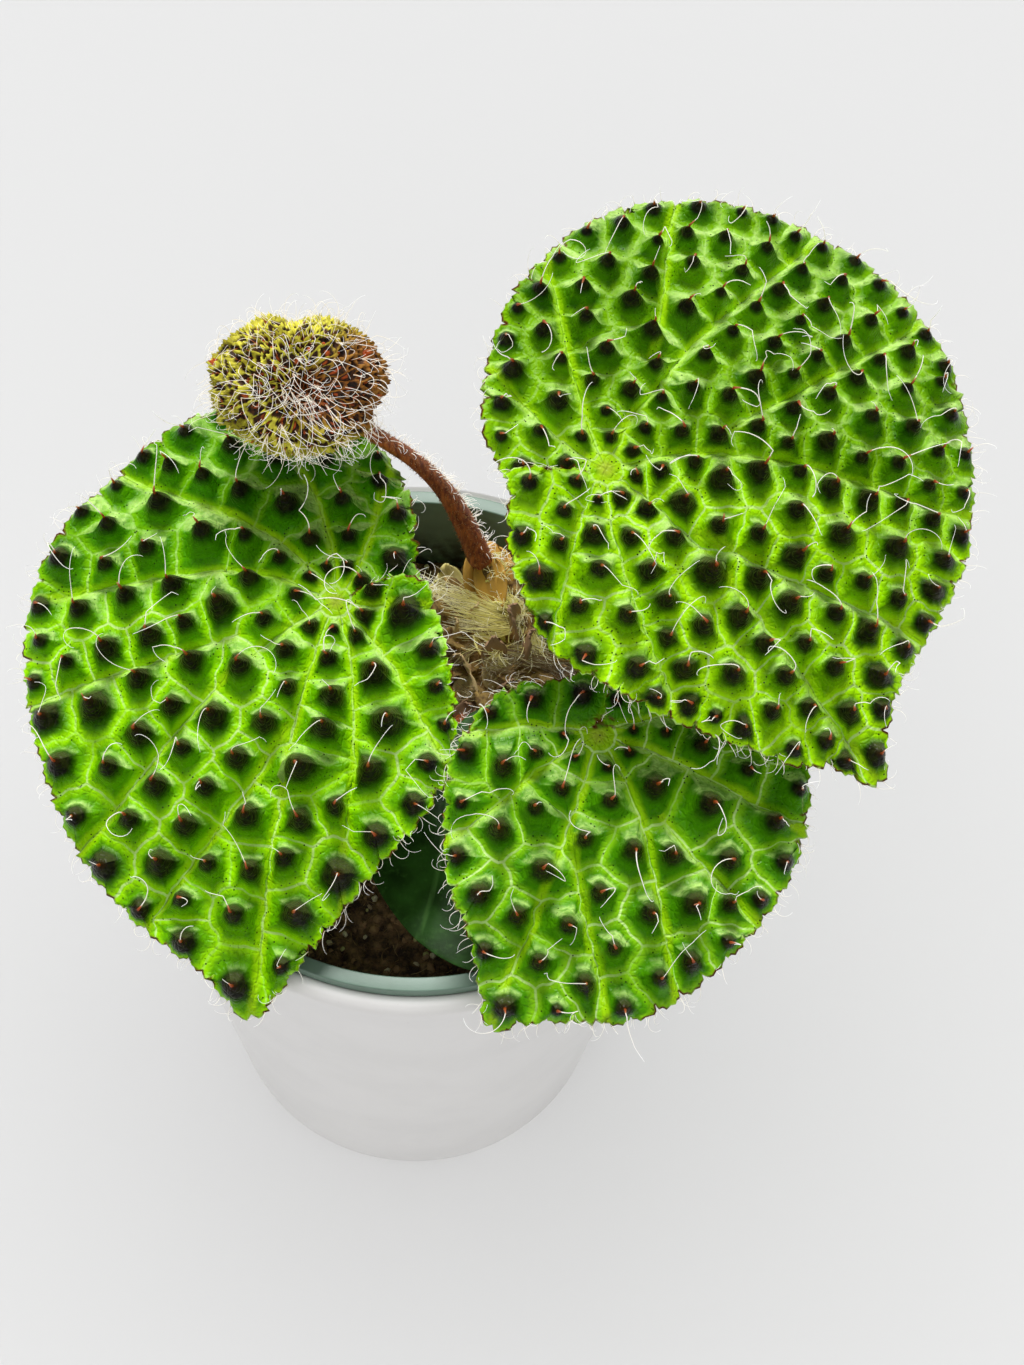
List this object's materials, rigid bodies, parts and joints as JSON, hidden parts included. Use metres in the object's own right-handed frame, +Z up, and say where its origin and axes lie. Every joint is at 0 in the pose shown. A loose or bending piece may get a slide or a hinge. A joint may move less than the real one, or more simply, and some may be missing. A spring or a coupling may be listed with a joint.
{
  "type": "potted begonia with bumpy leaves",
  "caption": "Potted begonia in a white pot: large leaves covered in pointed hairy bumps, a smooth leaf, a young furled leaf and a hairy crown in dark soil.",
  "frame": {"origin": "middle of the white pot's flat underside", "axes": "+Z up along the pot's axis, -Y towards the side the picture is taken from, +X to its right"},
  "size_m": [0.1915, 0.1629, 0.2306],
  "materials": {
    "pot_glaze": "white glaze with a soft gloss",
    "liner_plastic": "sage green moulded plastic, satin",
    "potting_soil": "dark loose peat with bark and fibres, matte",
    "crown_fibre": "straw coloured hairs and papery bracts, matte",
    "stalk_skin": "red brown plant skin with short white hairs",
    "leaf_bumpy": "bright green leaf with dark brown glossy bump tips, satin",
    "leaf_smooth": "dark green leaf, satin",
    "leaf_young": "yellow green net over dark brown, with long white hairs"
  },
  "bodies": {
    "root": {"outer_pot": "pot_glaze", "nursery_liner": "liner_plastic", "soil": "potting_soil", "crown": "crown_fibre", "petiole_left": "stalk_skin", "petiole_right": "stalk_skin", "petiole_front": "stalk_skin", "petiole_smooth": "stalk_skin", "petiole_furled": "stalk_skin", "blade_left": "leaf_bumpy", "blade_right": "leaf_bumpy", "blade_front": "leaf_bumpy", "blade_smooth": "leaf_smooth", "furled_leaf": "leaf_young"}
  },
  "joints": []
}
